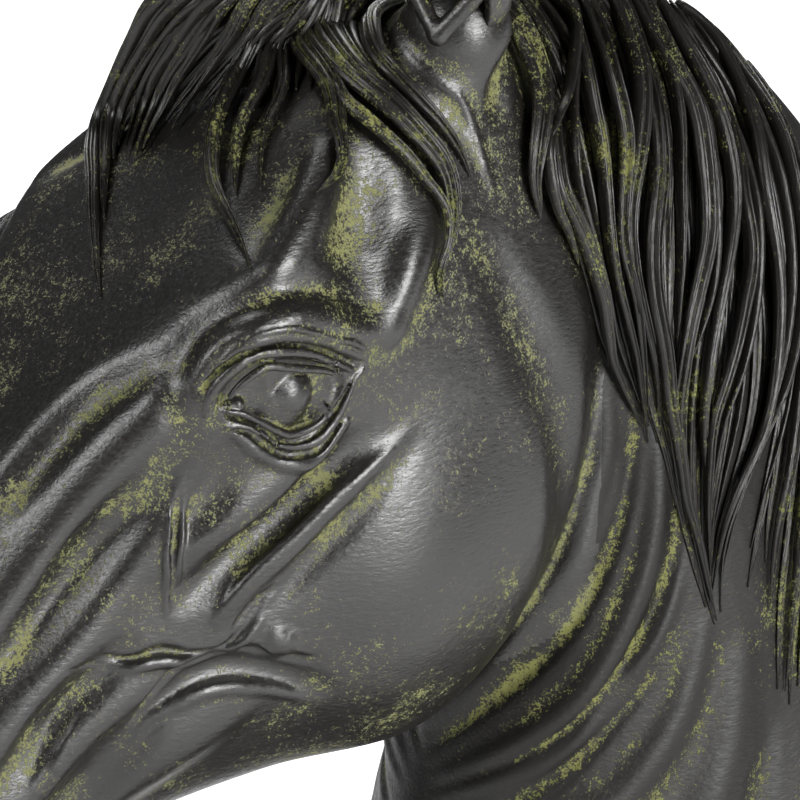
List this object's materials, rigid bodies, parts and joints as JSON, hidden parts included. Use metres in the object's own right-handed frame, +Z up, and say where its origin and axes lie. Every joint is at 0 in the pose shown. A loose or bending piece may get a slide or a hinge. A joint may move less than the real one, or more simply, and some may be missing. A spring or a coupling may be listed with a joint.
{
  "type": "horse head statuette",
  "caption": "Bronze horse head bust with a long mane and forelock, facing forward and down, standing on a stepped black stone plinth.",
  "frame": {"origin": "centre of the felt pad's underside, where the statuette stands", "axes": "+Z up, the horse faces -Y, +X is the horse's left, the side the mane falls on"},
  "size_m": [0.122, 0.3047, 0.402],
  "materials": {
    "bronze": "dark brown-black patina with rubbed olive green in the hollows, satin wax",
    "steel": "zinc plated",
    "stone": "honed black marble",
    "felt": "dark green felt"
  },
  "bodies": {
    "root": {"head_casting": "bronze", "neck_casting": "bronze", "forelock_casting": "bronze", "mane_casting": "bronze", "left_ear": "bronze", "right_ear": "bronze", "mounting_plate": "bronze", "threaded_stud": "steel", "locating_pins": "steel", "plinth": "stone", "stud_washer": "steel", "stud_nut": "steel", "felt_pad": "felt"}
  },
  "joints": []
}
